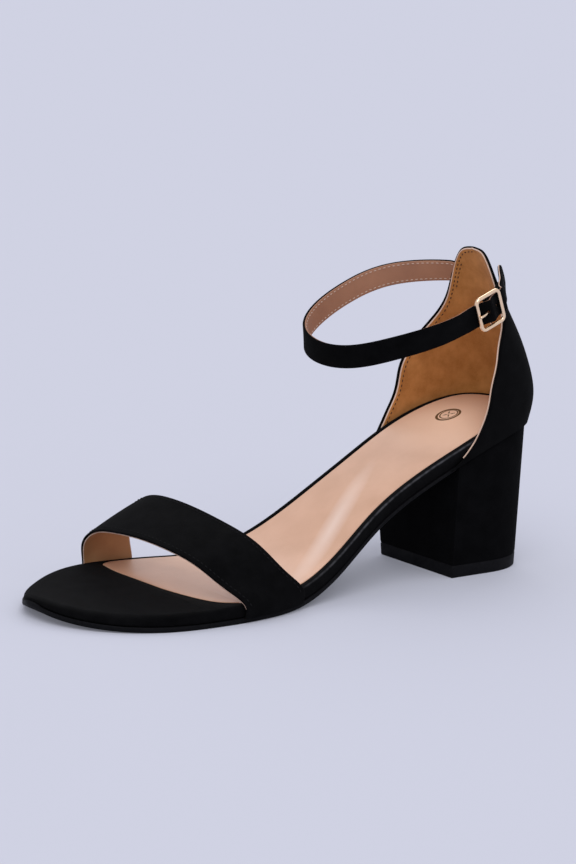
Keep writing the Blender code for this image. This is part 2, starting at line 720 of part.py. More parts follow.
def make_buckle(metal):
    """Frame with its cranked middle bar, and the prong that hangs on that bar."""
    frame = add_object("buckle_frame", *tube(rounded_frame(), (0, 0, 1), FRAME_BAR / 2, True, 10),
                       metal)
    reach = (FRAME_HEIGHT - FRAME_BAR) / 2
    crank = [(0, -reach, 0), (0, -reach + 0.0008, -0.0011), (0, -reach + 0.0014, -MIDDLE_DROP)]
    bar = crank + [(0, -y, z) for _, y, z in reversed(crank)]
    combine(frame, add_object("bar_cut", *tube(bar, (1, 0, 0), MIDDLE_BAR / 2)), "UNION")
    frame.matrix_world = buckle_matrix()

    loop = MIDDLE_BAR / 2 + FIT + PRONG / 2
    path = [(loop * math.cos(math.radians(a)), 0, -MIDDLE_DROP + loop * math.sin(math.radians(a)))
            for a in range(-150, 91, 24)]
    path += [(w.along, 0, w.out) for w in PRONG_RUN]
    prong = add_object("buckle_prong", *tube(path, (0, 1, 0), PRONG / 2), metal)
    prong.matrix_world = buckle_matrix()


def main():
    for old in list(bpy.data.objects):
        bpy.data.objects.remove(old)
    black = material("black_suede", (0.008, 0.008, 0.009), 0.95)
    tan = material("tan_insole", (0.60, 0.38, 0.28), 0.45)
    rubber = material("black_rubber", (0.018, 0.018, 0.020), 0.55)
    metal = material("rose_gold", (0.86, 0.55, 0.42), 0.25, 1.0)
    make_sole(black, tan, rubber)
    make_heel(black, rubber)
    make_counter(black)
    wall_object("toe_strap", *toe_strap_grids(), black)
    make_buckle(metal)


main()
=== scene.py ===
"""Looks of the block heel sandal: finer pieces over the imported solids, with their materials.

Metres, +Z up, toe towards -Y, the outer side at +X. The curves repeat the named sizes of the part.
"""

import math
from collections import namedtuple

import bmesh
import bpy
import numpy as np
from mathutils import Matrix, Vector


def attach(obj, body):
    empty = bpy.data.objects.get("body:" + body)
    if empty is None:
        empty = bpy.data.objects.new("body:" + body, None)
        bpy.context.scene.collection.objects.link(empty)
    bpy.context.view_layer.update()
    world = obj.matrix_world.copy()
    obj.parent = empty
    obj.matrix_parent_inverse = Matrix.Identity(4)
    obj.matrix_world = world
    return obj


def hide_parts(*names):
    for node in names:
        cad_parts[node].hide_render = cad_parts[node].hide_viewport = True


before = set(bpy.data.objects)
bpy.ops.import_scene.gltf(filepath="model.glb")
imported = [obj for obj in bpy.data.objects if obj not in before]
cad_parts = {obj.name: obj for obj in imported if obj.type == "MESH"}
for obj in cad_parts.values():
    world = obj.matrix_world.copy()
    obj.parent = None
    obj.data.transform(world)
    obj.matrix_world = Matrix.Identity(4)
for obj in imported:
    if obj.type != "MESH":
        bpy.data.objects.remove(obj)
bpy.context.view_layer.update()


def table(fields, *rows):
    """Rows of values whose columns have these names."""
    kind = namedtuple("Row", fields)
    return tuple(kind(*row) for row in rows)


# Sizes shared with the part
GAP = 0.00028
BOARD_LENGTH = 0.234
HEEL_BACK = 0.0248
SECTIONS = table(
    "station centre half_width height base",
    (0.00, -0.0005, 0.0000, 0.0703, 0.0631),
    (0.10, -0.0010, 0.0174, 0.0697, 0.0626),
    (0.20, -0.0005, 0.0253, 0.0658, 0.0590),
    (0.30, -0.0005, 0.0267, 0.0555, 0.0494),
    (0.36, -0.0011, 0.0251, 0.0456, 0.0395),
    (0.42, -0.0014, 0.0255, 0.0332, 0.0271),
    (0.48, -0.0017, 0.0300, 0.0186, 0.0125),
    (0.54, -0.0022, 0.0356, 0.0092, 0.0037),
    (0.60, -0.0028, 0.0411, 0.0077, 0.0025),
    (0.66, -0.0047, 0.0440, 0.0072, 0.0023),
    (0.72, -0.0055, 0.0434, 0.0069, 0.0023),
    (0.80, -0.0046, 0.0349, 0.0067, 0.0027),
    (0.90, -0.0045, 0.0174, 0.0081, 0.0043),
    (1.00, -0.0072, 0.0000, 0.0104, 0.0072),
)
INSOLE_THICK = 0.0012
RIM_DROP = 0.0001
OUTSOLE_THICK = 0.0021
WAIST_THICK = 0.0014
OUTSOLE_PROUD = 0.0006
RIM = 0.0034
INSOLE_SIDES_TO = -0.1395
INSOLE_FRONT = table(
    "lateral_x lateral_y medial_x medial_y",
    (0.0322, -0.1440, -0.0450, -0.1465),
    (0.0271, -0.1478, -0.0443, -0.1520),
    (0.0171, -0.1509, -0.0402, -0.1536),
    (0.0055, -0.1530, -0.0317, -0.1546),
    (0.0000, -0.1536, -0.0226, -0.1544),
)
BOARD_ROUNDING = table(
    "station inward share",
    (0.00, 0.0013, 0.13),
    (0.68, 0.0015, 0.18),
    (0.82, 0.0048, 0.78),
    (1.00, 0.0045, 0.75),
)
BOARD_FOOT = 0.0005
LIFT_HEIGHT = 0.0054
HEEL_HALF_WIDTH = 0.0239
HEEL_FRONT = -0.0214
HEEL_REAR = 0.0250
HEEL_ROUND_FROM = -0.0020
HEEL_ROUNDNESS = 2.35
BREAST_TOP = -0.0238
HEEL_TOP_PROUD = 0.0018
WALL = 0.0020
GIRTHS = table(
    "height width_factor shift",
    (0.056, 1.000, -0.0004),
    (0.0625, 1.000, 0.0010),
    (0.0685, 1.000, 0.0028),
    (0.075, 1.000, 0.0036),
    (0.081, 0.990, 0.0027),
    (0.088, 0.965, 0.0005),
    (0.100, 0.895, -0.0045),
    (0.114, 0.830, -0.0124),
    (0.128, 0.780, -0.0196),
    (0.138, 0.765, -0.0250),
)
COUNTER_EDGE = table(
    "height medial lateral",
    (0.0490, 0.3130, 0.3130),
    (0.0560, 0.2960, 0.2850),
    (0.0630, 0.2870, 0.2700),
    (0.0720, 0.2800, 0.2640),
    (0.0820, 0.2720, 0.2540),
    (0.0910, 0.2470, 0.2290),
    (0.0990, 0.2110, 0.2030),
    (0.1060, 0.1690, 0.1670),
    (0.1125, 0.1350, 0.1360),
    (0.1190, 0.1120, 0.1150),
    (0.1258, 0.0910, 0.0970),
    (0.1313, 0.0690, 0.0780),
    (0.1354, 0.0410, 0.0510),
    (0.1366, 0.0040, 0.0040),
)
Place = namedtuple("Place", "height station")
STRAP_WIDTH = 0.0098
STRAP_THICK = 0.0015
STRAP_LOOP = table(
    "x y z",
    (-0.0155, 0.0031, 0.1243),
    (-0.0273, -0.0174, 0.1226),
    (-0.0331, -0.0380, 0.1153),
    (-0.0318, -0.0555, 0.1066),
    (-0.0234, -0.0680, 0.0994),
    (-0.0088, -0.0718, 0.0954),
    (0.0072, -0.0676, 0.0955),
    (0.0201, -0.0554, 0.1000),
    (0.0277, -0.0362, 0.1061),
)
STRAP_ROOT = (Place(0.1248, 0.046), Place(0.1243, 0.078))
ROOT_LENGTH = 0.0120
UPRIGHT_FROM = 0.0420
FLARE = 0.09
FLARE_LENGTH = 0.0300
TAIL_LEAN = 0.30
STRAP_TAIL = table(
    "x y z",
    (0.0215, 0.0006, 0.1182),
    (0.0177, 0.0040, 0.1203),
    (0.0134, 0.0072, 0.1226),
    (0.0066, 0.0125, 0.1266),
)
HOLE_RADIUS = 0.00095
HOLE_SPACING = 0.0070
HOLE_COUNT = 4
BUCKLE_CENTRE = Vector((0.0280, -0.0114, 0.1142))
BUCKLE_ALONG = Vector((-0.05, 0.93, 0.36))
FRAME_LENGTH = 0.0146
FRAME_HEIGHT = 0.0154
FRAME_BAR = 0.0017
FRAME_CORNER = 0.0020
MIDDLE_BAR = 0.0009
MIDDLE_DROP = 0.0017
PRONG = 0.0008
FIT = 0.00012
TAB_THICK = 0.0011
TAB_LAYER = 0.00055
TAB_WIDTH = 0.0092
STRAP_IN_BUCKLE = table(
    "along out",
    (-0.0112, -0.0020),
    (-0.0064, -0.0018),
    (-0.0024, -0.0004),
    (0.0000, 0.0008),
    (0.0024, -0.0004),
    (0.0064, -0.0018),
    (0.0106, -0.0025),
)
IN_BUCKLE_FROM = 0.0098
IN_BUCKLE_TO = 0.0165
HOLE_AT = -0.0016
PRONG_RUN = table(
    "along out",
    (-0.0009, -0.00055),
    (-0.0020, 0.00035),
    (-0.0034, 0.00115),
    (-0.0050, 0.00150),
    (-0.0064, 0.00155),
    (-0.0073, 0.00140),
)
TAB_RUN = table(
    "along out",
    (0.0009, -0.00250),
    (0.0052, -0.00340),
    (0.0098, -0.00560),
    (0.0146, -0.00860),
)
TAB_IN_WALL = Place(0.1150, 0.085)
TOE_WALL = 0.0016
TOE_ARCH = table(
    "front_x front_y front_z rear_x rear_y rear_z",
    (0.0344, -0.1473, 0.0145, 0.0331, -0.1155, 0.0164),
    (0.0237, -0.1540, 0.0222, 0.0222, -0.1220, 0.0263),
    (0.0100, -0.1591, 0.0264, 0.0078, -0.1276, 0.0324),
    (-0.0047, -0.1624, 0.0279, -0.0080, -0.1322, 0.0362),
    (-0.0200, -0.1635, 0.0269, -0.0246, -0.1353, 0.0376),
    (-0.0351, -0.1631, 0.0239, -0.0397, -0.1366, 0.0341),
    (-0.0471, -0.1612, 0.0161, -0.0493, -0.1372, 0.0212),
)
TOE_FEET = table("side front_y rear_y", (1, -0.1410, -0.1090), (-1, -0.1580, -0.1362))
TOE_CROWN = 0.0007

# Sizes of the dressing
LINING = 0.0007               # thickness of the counter's and toe strap's lining
LAYER_GAP = 0.00001           # between a lining and the layer that it is glued to
EDGE_BEAD = 0.00034           # radius of the counter lining's pale cut edge
FINE_BEAD = 0.00022           # and of the straps' pale edges
BEAD_STEP = 0.0006            # spacing of the sections along a pale edge
TOE_BEAD_STEP = 0.0008        # and along the toe strap's
FOLDS = table(  # how far inside the folded edge the lining stops
    "height medial lateral",
    (0.1060, 0.0010, 0.0002),
    (0.1250, 0.0010, 0.0010),
)
STITCHES_IN = 0.0014          # from the lining's edge to its stitches
SECOND_ROW_IN = 0.0014        # and to a second row, where the ankle strap is sewn on
JOINT_LOW, JOINT_HIGH = 0.1165, 0.1290
STITCH_PITCH = 0.0021
STITCH_LENGTH = 0.0015
STITCH_RADIUS = 0.00023


# Curves
def natural_cubic(knots, values):
    """Return a function for the smooth curve through the values, straight at both ends."""
    knots, values = np.asarray(knots, float), np.asarray(values, float)
    count, span = len(knots), np.diff(knots)
    matrix, right = np.eye(count), np.zeros(values.shape)
    for i in range(1, count - 1):
        matrix[i, i - 1:i + 2] = span[i - 1], 2 * (span[i - 1] + span[i]), span[i]
        right[i] = 6 * ((values[i + 1] - values[i]) / span[i]
                        - (values[i] - values[i - 1]) / span[i - 1])
    bend = np.linalg.solve(matrix, right)

    def curve(at):
        at = np.clip(np.atleast_1d(np.asarray(at, float)), knots[0], knots[-1])
        i = np.clip(np.searchsorted(knots, at, side="right") - 1, 0, count - 2)
        h = span[i]
        a, b = (knots[i + 1] - at) / h, (at - knots[i]) / h
        if values.ndim > 1:
            a, b, h = a[:, None], b[:, None], h[:, None]
        return (a * values[i] + b * values[i + 1]
                + ((a ** 3 - a) * bend[i] + (b ** 3 - b) * bend[i + 1]) * h * h / 6)

    return curve


def column(rows, name):
    return [getattr(row, name) for row in rows]


def unit(vectors):
    return vectors / np.linalg.norm(vectors, axis=-1)[..., None]


def run_length(points):
    """Distance along a row of points, from its first."""
    return np.concatenate([[0.0], np.cumsum(np.linalg.norm(np.diff(points, axis=0), axis=1))])


def on_line(at, run, points):
    """The places that far along a line, whose points lie at these lengths."""
    return np.column_stack([np.interp(at, run, points[:, c]) for c in range(3)])


def even_points(points, step):
    """The same line with its points that far apart."""
    run = run_length(points)
    at = np.linspace(0, run[-1], max(2, int(round(run[-1] / step)) + 1))
    return on_line(at, run, points)


def through_points(points, steps):
    points = np.asarray(points, float)
    chord = np.linalg.norm(np.diff(points, axis=0), axis=1)
    knots = np.concatenate([[0.0], np.cumsum(np.sqrt(chord))])
    steps = np.broadcast_to(steps, len(chord))
    at = [knots[0]]
    for i, count in enumerate(steps):
        at.extend(np.linspace(knots[i], knots[i + 1], count + 1)[1:])
    return natural_cubic(knots, points)(at)


STATIONS = column(SECTIONS, "station")
centre_at = natural_cubic(STATIONS, column(SECTIONS, "centre"))
half_width_at = natural_cubic(STATIONS, column(SECTIONS, "half_width"))
height_at = natural_cubic(STATIONS, column(SECTIONS, "height"))
base_at = natural_cubic(STATIONS, column(SECTIONS, "base"))
width_factor_at = natural_cubic(column(GIRTHS, "height"), column(GIRTHS, "width_factor"))
shift_at = natural_cubic(column(GIRTHS, "height"), column(GIRTHS, "shift"))


def station_y(station):
    return HEEL_BACK - BOARD_LENGTH * (1 - np.cos(math.pi * station)) / 2


def y_station(y):
    return np.arccos(np.clip(1 - 2 * (HEEL_BACK - y) / BOARD_LENGTH, -1, 1)) / math.pi


def outline(station, side, offset):
    """Plan points (x, y) of the board's outline on one side, moved out by the offset."""
    station = np.atleast_1d(np.asarray(station, float))
    step = 1e-4
    after, before = np.clip(station + step, 0, 1), np.clip(station - step, 0, 1)
    x_at = lambda at: centre_at(at) + side * half_width_at(at)
    run_x, run_y = x_at(after) - x_at(before), station_y(after) - station_y(before)
    length = np.hypot(run_x, run_y)
    return np.stack([x_at(station) - side * run_y / length * offset,
                     station_y(station) + side * run_x / length * offset], axis=1)


def insole_top(y):
    return height_at(y_station(y))


def board_top(y):
    return insole_top(y) - RIM_DROP


def board_bottom(y):
    return base_at(y_station(y))


def outsole_top(y):
    return board_bottom(y) - GAP


def outsole_bottom(y):
    waist = np.clip((y - station_y(0.58)) / (BREAST_TOP - station_y(0.58)), 0, 1)
    thick = OUTSOLE_THICK + (WAIST_THICK - OUTSOLE_THICK) * waist
    return np.maximum(outsole_top(y) - thick, 0.0)


# Materials
def new_material(name):
    """A new material, its node tree and its Principled shader."""
    made = bpy.data.materials.new(name)
    made.use_nodes = True
    tree = made.node_tree
    return made, tree, tree.nodes["Principled BSDF"]


def set_values(node, values):
    for name, value in values.items():
        node.inputs[name].default_value = value


def feed(shader, colour, roughness):
    links = shader.id_data.links
    links.new(colour, shader.inputs["Base Color"])
    links.new(roughness, shader.inputs["Roughness"])


def texture(tree, kind, values):
    """A texture node laid out in the row's own space, and the mapping before it."""
    place = tree.nodes.new("ShaderNodeTexCoord")
    mapping = tree.nodes.new("ShaderNodeMapping")
    node = tree.nodes.new(kind)
    set_values(mapping, values)
    tree.links.new(place.outputs["Object"], mapping.inputs["Vector"])
    tree.links.new(mapping.outputs["Vector"], node.inputs["Vector"])
    return node, mapping


def noise(tree, scale, detail=3.0, rough=0.55, stretch=(1, 1, 1)):
    """Noise whose scale is in cells a metre."""
    node = texture(tree, "ShaderNodeTexNoise", {"Scale": stretch})[0]
    set_values(node, {"Scale": scale, "Detail": detail, "Roughness": rough})
    return node.outputs["Fac"]


def patch(tree, centre, reach, turn):
    """1 at a place on the row, easing to 0 at the reach along and across a turned line."""
    node, mapping = texture(tree, "ShaderNodeTexGradient", {
        "Location": centre, "Rotation": (0, 0, math.radians(turn)), "Scale": reach})
    mapping.vector_type = "TEXTURE"
    node.gradient_type = "SPHERICAL"
    return node.outputs["Fac"]


def ramp(tree, source, *stops):
    """Colours or grey values at places between 0 and 1."""
    node = tree.nodes.new("ShaderNodeValToRGB")
    elements = node.color_ramp.elements
    while len(elements) < len(stops):
        elements.new(0.5)
    for element, (place, colour) in zip(elements, stops):
        element.position = place
        colour = colour if isinstance(colour, tuple) else (colour,) * 3
        element.color = (*colour, 1.0)
    tree.links.new(source, node.inputs["Fac"])
    return node.outputs["Color"]


def mix(tree, share, a, b, blend="MIX"):
    node = tree.nodes.new("ShaderNodeMix")
    node.data_type = "RGBA"
    node.blend_type = blend
    for socket, value in ((node.inputs[0], share), (node.inputs[6], a), (node.inputs[7], b)):
        if isinstance(value, bpy.types.NodeSocket):
            tree.links.new(value, socket)
        elif isinstance(value, tuple):
            socket.default_value = (*value, 1.0)
        else:
            socket.default_value = value
    return node.outputs[2]


def bump(tree, shader, *layers):
    """Bump layers, each a height source and its depth in metres."""
    normal = None
    for source, depth in layers:
        node = tree.nodes.new("ShaderNodeBump")
        set_values(node, {"Distance": depth, "Strength": 1.0})
        tree.links.new(source, node.inputs["Height"])
        if normal:
            tree.links.new(normal, node.inputs["Normal"])
        normal = node.outputs["Normal"]
    tree.links.new(normal, shader.inputs["Normal"])


def suede(name, dark, light, nap=0.008, gloss=0.03, worn=None):
    """Napped faux suede: a fine fibre, soft brushed patches and a faint sheen. Where the mesh
    says wear, it takes the worn colour."""
    made, tree, shader = new_material(name)
    fibre = noise(tree, 2600, 4, 0.65)
    brushed = noise(tree, 130, 3, 0.6)
    colour = mix(tree, ramp(tree, brushed, (0.35, 0.0), (0.7, 1.0)), dark, light)
    colour = mix(tree, ramp(tree, fibre, (0.35, 0.0), (0.75, 0.55)), colour, light)
    if worn:
        mask = tree.nodes.new("ShaderNodeAttribute")
        mask.attribute_name = "wear"
        rubbed = mix(tree, 1.0, mask.outputs["Color"],
                     ramp(tree, noise(tree, 320, 4), (0.3, 0.15), (0.65, 1.0)), "MULTIPLY")
        colour = mix(tree, rubbed, colour, worn)
    feed(shader, colour, ramp(tree, fibre, (0.2, 0.86), (0.8, 1.0)))
    set_values(shader, {"Specular IOR Level": gloss, "Sheen Weight": nap, "Sheen Roughness": 0.6})
    bump(tree, shader, (fibre, 0.00009), (noise(tree, 420, 3), 0.00006))
    return made


def smooth_leather(name, dark, light, roughness=0.42, painted_light_and_shade=()):
    """Smooth finished leather with a very fine grain, slight tonal change, and patches of painted
    highlight and painted shade.
    """
    made, tree, shader = new_material(name)
    grain = noise(tree, 2200, 3, 0.5)
    tone = noise(tree, 60, 3, 0.5)
    colour = mix(tree, ramp(tree, tone, (0.3, 0.0), (0.7, 1.0)), dark, light)
    # each patch paints a highlight, light or shade into the leather's colour
    for painted_patch in painted_light_and_shade:
        part = patch(tree, painted_patch.centre, painted_patch.reach, painted_patch.turn)
        part = ramp(tree, part, (0.0, 0.0), (0.9, painted_patch.share))
        colour = mix(tree, part, colour, painted_patch.colour)
    feed(shader, colour, ramp(tree, grain, (0.2, roughness - 0.05), (0.8, roughness + 0.08)))
    shader.inputs["Specular IOR Level"].default_value = 0.45
    bump(tree, shader, (grain, 0.00003), (noise(tree, 300, 2), 0.00005))
    return made


def rubber(name, dark, light):
    made, tree, shader = new_material(name)
    speck = noise(tree, 900, 4, 0.6)
    feed(shader, mix(tree, ramp(tree, speck, (0.35, 0.0), (0.7, 1.0)), dark, light),
         ramp(tree, noise(tree, 160, 3), (0.3, 0.5), (0.7, 0.7)))
    shader.inputs["Specular IOR Level"].default_value = 0.06
    bump(tree, shader, (speck, 0.00004))
    return made


def plated_metal(name, colour):
    """Polished plating with faint wiping marks."""
    made, tree, shader = new_material(name)
    marks = noise(tree, 900, 4, 0.6, (1, 0.2, 1))
    feed(shader, mix(tree, ramp(tree, marks, (0.4, 0.0), (0.65, 0.25)), colour,
                     tuple(0.8 * c for c in colour)),
         ramp(tree, marks, (0.3, 0.14), (0.7, 0.24)))
    shader.inputs["Metallic"].default_value = 1.0
    bump(tree, shader, (noise(tree, 500, 2), 0.00001))
    return made


def thread(name, colour, gloss=0.5):
    made, tree, shader = new_material(name)
    strands = noise(tree, 4000, 2)
    tree.links.new(mix(tree, ramp(tree, strands, (0.3, 0.0), (0.7, 0.5)), colour,
                       tuple(0.5 * c for c in colour)), shader.inputs["Base Color"])
    set_values(shader, {"Specular IOR Level": gloss, "Roughness": 0.75})
    bump(tree, shader, (strands, 0.00003))
    return made


BLACK_TONES = (0.0012, 0.0012, 0.0014), (0.0034, 0.0034, 0.0038)
BLACK = suede("black_suede", *BLACK_TONES)
HEEL_BLACK = suede("heel_suede", (0.0010, 0.0010, 0.0012), (0.0026, 0.0026, 0.0030), 0.004)
BOARD_BLACK = suede("board_suede", *BLACK_TONES, worn=(0.075, 0.075, 0.082))
LINING_SUEDE = suede("ochre_lining", (0.38, 0.145, 0.029), (0.56, 0.24, 0.065), 0.1, 0.2)
STRAP_LINING = smooth_leather("strap_lining", (0.30, 0.135, 0.075), (0.38, 0.18, 0.10), 0.6)
TOE_LINING = smooth_leather("toe_lining", (0.40, 0.185, 0.075), (0.56, 0.29, 0.135), 0.6)
INSOLE_PAINTED_LIGHT_AND_SHADE = table(  # painted light and shade: a painted highlight along the arch, painted light at the heel, and darker, warmer painted shade at the toe under the toe strap
    "centre reach turn share colour",
    # painted highlight: a pale streak along the arch
    ((0.0085, -0.0740, 0.0250), (0.044, 0.0060, 0.05), -63.0, 0.62, (0.88, 0.70, 0.60)),
    # painted light inside the heel
    ((0.0, -0.006, 0.0640), (0.040, 0.030, 0.03), 0.0, 0.95, (1.0, 0.66, 0.46)),
    # painted shade at the toe, under the toe strap
    ((-0.010, -0.158, 0.0100), (0.034, 0.020, 0.03), 20.0, 0.5, (0.62, 0.30, 0.16)),
)
TAN = smooth_leather("tan_insole", (0.62, 0.36, 0.23), (0.70, 0.42, 0.28), 0.42, INSOLE_PAINTED_LIGHT_AND_SHADE)
CREAM = smooth_leather("cream_edge", (0.66, 0.44, 0.33), (0.78, 0.56, 0.43), 0.6)
OUTSOLE_RUBBER = rubber("outsole_rubber", (0.0030, 0.0030, 0.0038), (0.0060, 0.0060, 0.0070))
LIFT_RUBBER = rubber("lift_rubber", (0.0030, 0.0030, 0.0038), (0.0065, 0.0065, 0.0078))
ROSE_GOLD = plated_metal("rose_gold", (1.0, 0.74, 0.50))
BLACK_THREAD = thread("black_thread", (0.0110, 0.0110, 0.0120), 0.05)
BROWN_THREAD = thread("brown_thread", (0.045, 0.014, 0.005))
PALE_THREAD = thread("pale_thread", (0.62, 0.44, 0.35))
STAMP_INK = smooth_leather("stamp_brown", (0.085, 0.038, 0.008), (0.16, 0.075, 0.018), 0.6)


# Mesh helpers
def add_piece(name, points, faces, finish, slot="black_suede", smooth_angle=50):
    """A mesh of the object, riding on its only body."""
    mesh = bpy.data.meshes.new(name)
    mesh.from_pydata([tuple(map(float, p)) for p in points], [], faces)
    shape = bmesh.new()
    shape.from_mesh(mesh)
    bmesh.ops.remove_doubles(shape, verts=shape.verts, dist=1e-7)
    bmesh.ops.recalc_face_normals(shape, faces=shape.faces)
    shape.to_mesh(mesh)
    shape.free()
    mesh.shade_smooth()
    mesh.set_sharp_from_angle(angle=math.radians(smooth_angle))
    mesh.materials.append(finish)
    made = bpy.data.objects.new(name, mesh)
    bpy.context.collection.objects.link(made)
    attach(made, "root")
    return made


def joined(meshes):
    """The points and faces of several closed forms as one."""
    points, faces = [], []
    for more, sides in meshes:
        faces.extend(tuple(i + len(points) for i in face) for face in sides)
        points.extend(more)
    return points, faces


def rows_solid(rings):
    """Points and faces of a solid from stacked rings, each a left and a right row of points."""
    points = [point for left, right in rings for row in (right, left) for point in row]
    faces, count = [], len(rings[0][0])
    size = 2 * count
    loop = list(range(count)) + list(range(size - 1, count - 1, -1))
    for k in range(len(rings) - 1):
        low, high = k * size, (k + 1) * size
        for a, b in zip(loop, loop[1:] + loop[:1]):
            faces.append((low + a, low + b, high + b, high + a))
    for base in (0, (len(rings) - 1) * size):
        for i in range(count - 1):
            faces.append((base + i, base + i + 1, base + count + i + 1, base + count + i))
    return points, faces


def plate(stations, layers):
    """Rings in the board's outline at these stations, one for each layer's offset and height."""
    rings = []
    for offset, height in layers:
        plans = [outline(stations, side, offset) for side in (-1, 1)]
        rings.append([np.column_stack([plan, height(plan[:, 1])]) for plan in plans])
    return rings


def sheet_solid(grid, outer, inner, round_steps=4):
    """A sheet with a rolled edge. grid(offset, inset) gives rows and columns of points."""
    radius, middle = (outer - inner) / 2, (outer + inner) / 2
    top, bottom = grid(outer, radius), grid(inner, radius)
    rows, columns = top.shape[:2]
    border = [(0, j) for j in range(columns)]
    border += [(i, columns - 1) for i in range(1, rows)]
    border += [(rows - 1, j) for j in range(columns - 2, -1, -1)]
    border += [(i, 0) for i in range(rows - 2, 0, -1)]
    points, faces = list(top.reshape(-1, 3)), []

    def cover(start):
        for i in range(rows - 1):
            for j in range(columns - 1):
                a = start + i * columns + j
                faces.append((a, a + 1, a + columns + 1, a + columns))

    def join(ring, after):
        for n in range(len(border)):
            m = (n + 1) % len(border)
            faces.append((ring[n], ring[m], after[m], after[n]))

    cover(0)
    ring = [i * columns + j for i, j in border]
    for k in range(1, round_steps):
        angle = math.pi * (0.5 - k / round_steps)
        edge = grid(middle + radius * math.sin(angle), radius * (1 - math.cos(angle)))
        start = len(points)
        points.extend(edge[place] for place in border)
        after = [start + n for n in range(len(border))]
        join(ring, after)
        ring = after
    start = len(points)
    points.extend(bottom.reshape(-1, 3))
    join(ring, [start + i * columns + j for i, j in border])
    cover(start)
    return points, faces


def tube(points, radius, sides=10, closed=False, across=None):
    """Points and faces of a round bar along a path; the radius may change along it."""
    points = np.asarray(points, float)
    run = (np.roll(points, -1, axis=0) - np.roll(points, 1, axis=0)) if closed \
        else np.gradient(points, axis=0)
    run = unit(run)
    radius = np.broadcast_to(radius, len(points))
    guide = np.asarray(across if across is not None else (0.13, 0.31, 0.94), float)
    ring_points, faces = [], []
    for point, way, r in zip(points, run, radius):
        guide = guide - way * np.dot(guide, way)
        guide = guide / np.linalg.norm(guide)
        aside = np.cross(guide, way)
        for s in range(sides):
            angle = (s + 0.5) * 2 * math.pi / sides
            ring_points.append(point + r * (math.cos(angle) * guide + math.sin(angle) * aside))
    count = len(points)
    for k in range(count if closed else count - 1):
        low, high = k * sides, (k + 1) % count * sides
        for s in range(sides):
            t = (s + 1) % sides
            faces.append((low + s, low + t, high + t, high + s))
    if not closed:
        faces.append(tuple(range(sides)))
        faces.append(tuple((count - 1) * sides + s for s in range(sides)))
    return ring_points, faces


def stitches(name, line, normal, finish):
    """A row of thread stitches that lie partly sunk along a line on a surface."""
    run = run_length(line)
    count = int(run[-1] / STITCH_PITCH)
    made = []
    for k in range(count):
        middle = (k + 0.5) * run[-1] / count
        at = middle + np.linspace(-0.5, 0.5, 5) * STITCH_LENGTH
        centre, out = on_line(at, run, line), unit(on_line(middle, run, normal))[0]
        arc = np.array([-1.5, -0.05, 0.3, -0.05, -1.5])
        thick = STITCH_RADIUS * np.array([0.45, 0.95, 1.0, 0.95, 0.45])
        made.append(tube(centre + out * (arc * STITCH_RADIUS)[:, None], thick, 6, across=out))
    add_piece(name, *joined(made), finish)


def pale_edge(name, line, radius, step=BEAD_STEP):
    """The pale cut edge of a lining, as a fine bead along the line."""
    add_piece(name, *tube(even_points(line, step), radius, 8), CREAM)


def apply_boolean(target, tool, operation, solver="EXACT"):
    change = target.modifiers.new(operation.lower(), "BOOLEAN")
    change.operation = operation
    change.solver = solver
    change.object = tool
    bpy.context.view_layer.update()
    evaluated = target.evaluated_get(bpy.context.evaluated_depsgraph_get())
    mesh = bpy.data.meshes.new_from_object(evaluated)
    target.modifiers.clear()
    target.data = mesh
    bpy.data.objects.remove(tool)


# The sole
SOLE_STEPS = 150
SOLE_EDGE = 0.0004            # the outsole's and insole's edges are rounded by this much


def sole_stations(first=0.0, last=1.0):
    blend = (1 - np.cos(np.linspace(0, math.pi, SOLE_STEPS + 1))) / 2
    shared = 0.4 * blend + 0.6 * np.linspace(0, 1, SOLE_STEPS + 1)
    inside = shared[(shared > first + 0.002) & (shared < last - 0.002)]
    return np.concatenate([[first], inside, [last]])


def rounded_layers(outer, top, bottom, radius, steps):
    """Layers of a plate whose upper and lower edges are both rounded."""
    turns = [(radius * (1 - math.sin(angle)), radius * (1 - math.cos(angle)))
             for angle in np.linspace(0, math.pi / 2, steps + 1)]
    return ([(outer - inset, lambda y, r=rise: bottom(y) + r) for inset, rise in turns]
            + [(outer - inset, lambda y, d=drop: top(y) - d) for inset, drop in turns[::-1]])


def board_layers(stations, steps=8):
    """The wrapped board from its underside to its rim, rounded more towards the toe."""
    known = column(BOARD_ROUNDING, "station")
    inward = np.interp(stations, known, column(BOARD_ROUNDING, "inward"))
    share = np.interp(stations, known, column(BOARD_ROUNDING, "share"))
    layers = [(-BOARD_FOOT, board_bottom),
              (-BOARD_FOOT * 0.3, lambda y: board_bottom(y) + BOARD_FOOT * 0.3),
              (0.0, lambda y: board_bottom(y) + BOARD_FOOT)]
    for turn in np.linspace(0, math.pi / 2, steps + 1):
        def height(y, fall=share * (1 - math.sin(turn))):
            return board_top(y) - fall * (board_top(y) - board_bottom(y))
        layers.append((inward * (math.cos(turn) - 1), height))
    return layers


def insole_rings(layers):
    """Rings in the insole's outline: its sides follow the board, its front is a smooth curve."""
    stations = sole_stations(0, float(y_station(INSOLE_SIDES_TO)))
    rings = plate(stations, [(offset - RIM, height) for offset, height in layers])
    for (offset, height), pair in zip(layers, rings):
        for i, sign, name in ((0, -1, "medial"), (1, 1, "lateral")):
            corner = np.column_stack([column(INSOLE_FRONT, name + "_x"),
                                      column(INSOLE_FRONT, name + "_y")])
            corner = np.vstack([pair[i][-1, :2], corner + np.array([sign, -1]) * offset])
            plan = natural_cubic(np.arange(len(corner)), corner)(
                np.linspace(0, len(corner) - 1, 21))[1:]
            pair[i] = np.vstack([pair[i], np.column_stack([plan, height(plan[:, 1])])])
    return rings


WEAR_INSIDE, WEAR_BELOW = 0.0004, 0.0003   # the worn line's place under the board's rim
WEAR_WIDTH, WEAR_HEIGHT = 0.0005, 0.0004
WEAR_FROM, WEAR_TO, WEAR_EASE = 0.20, 0.56, 0.08   # and its stations


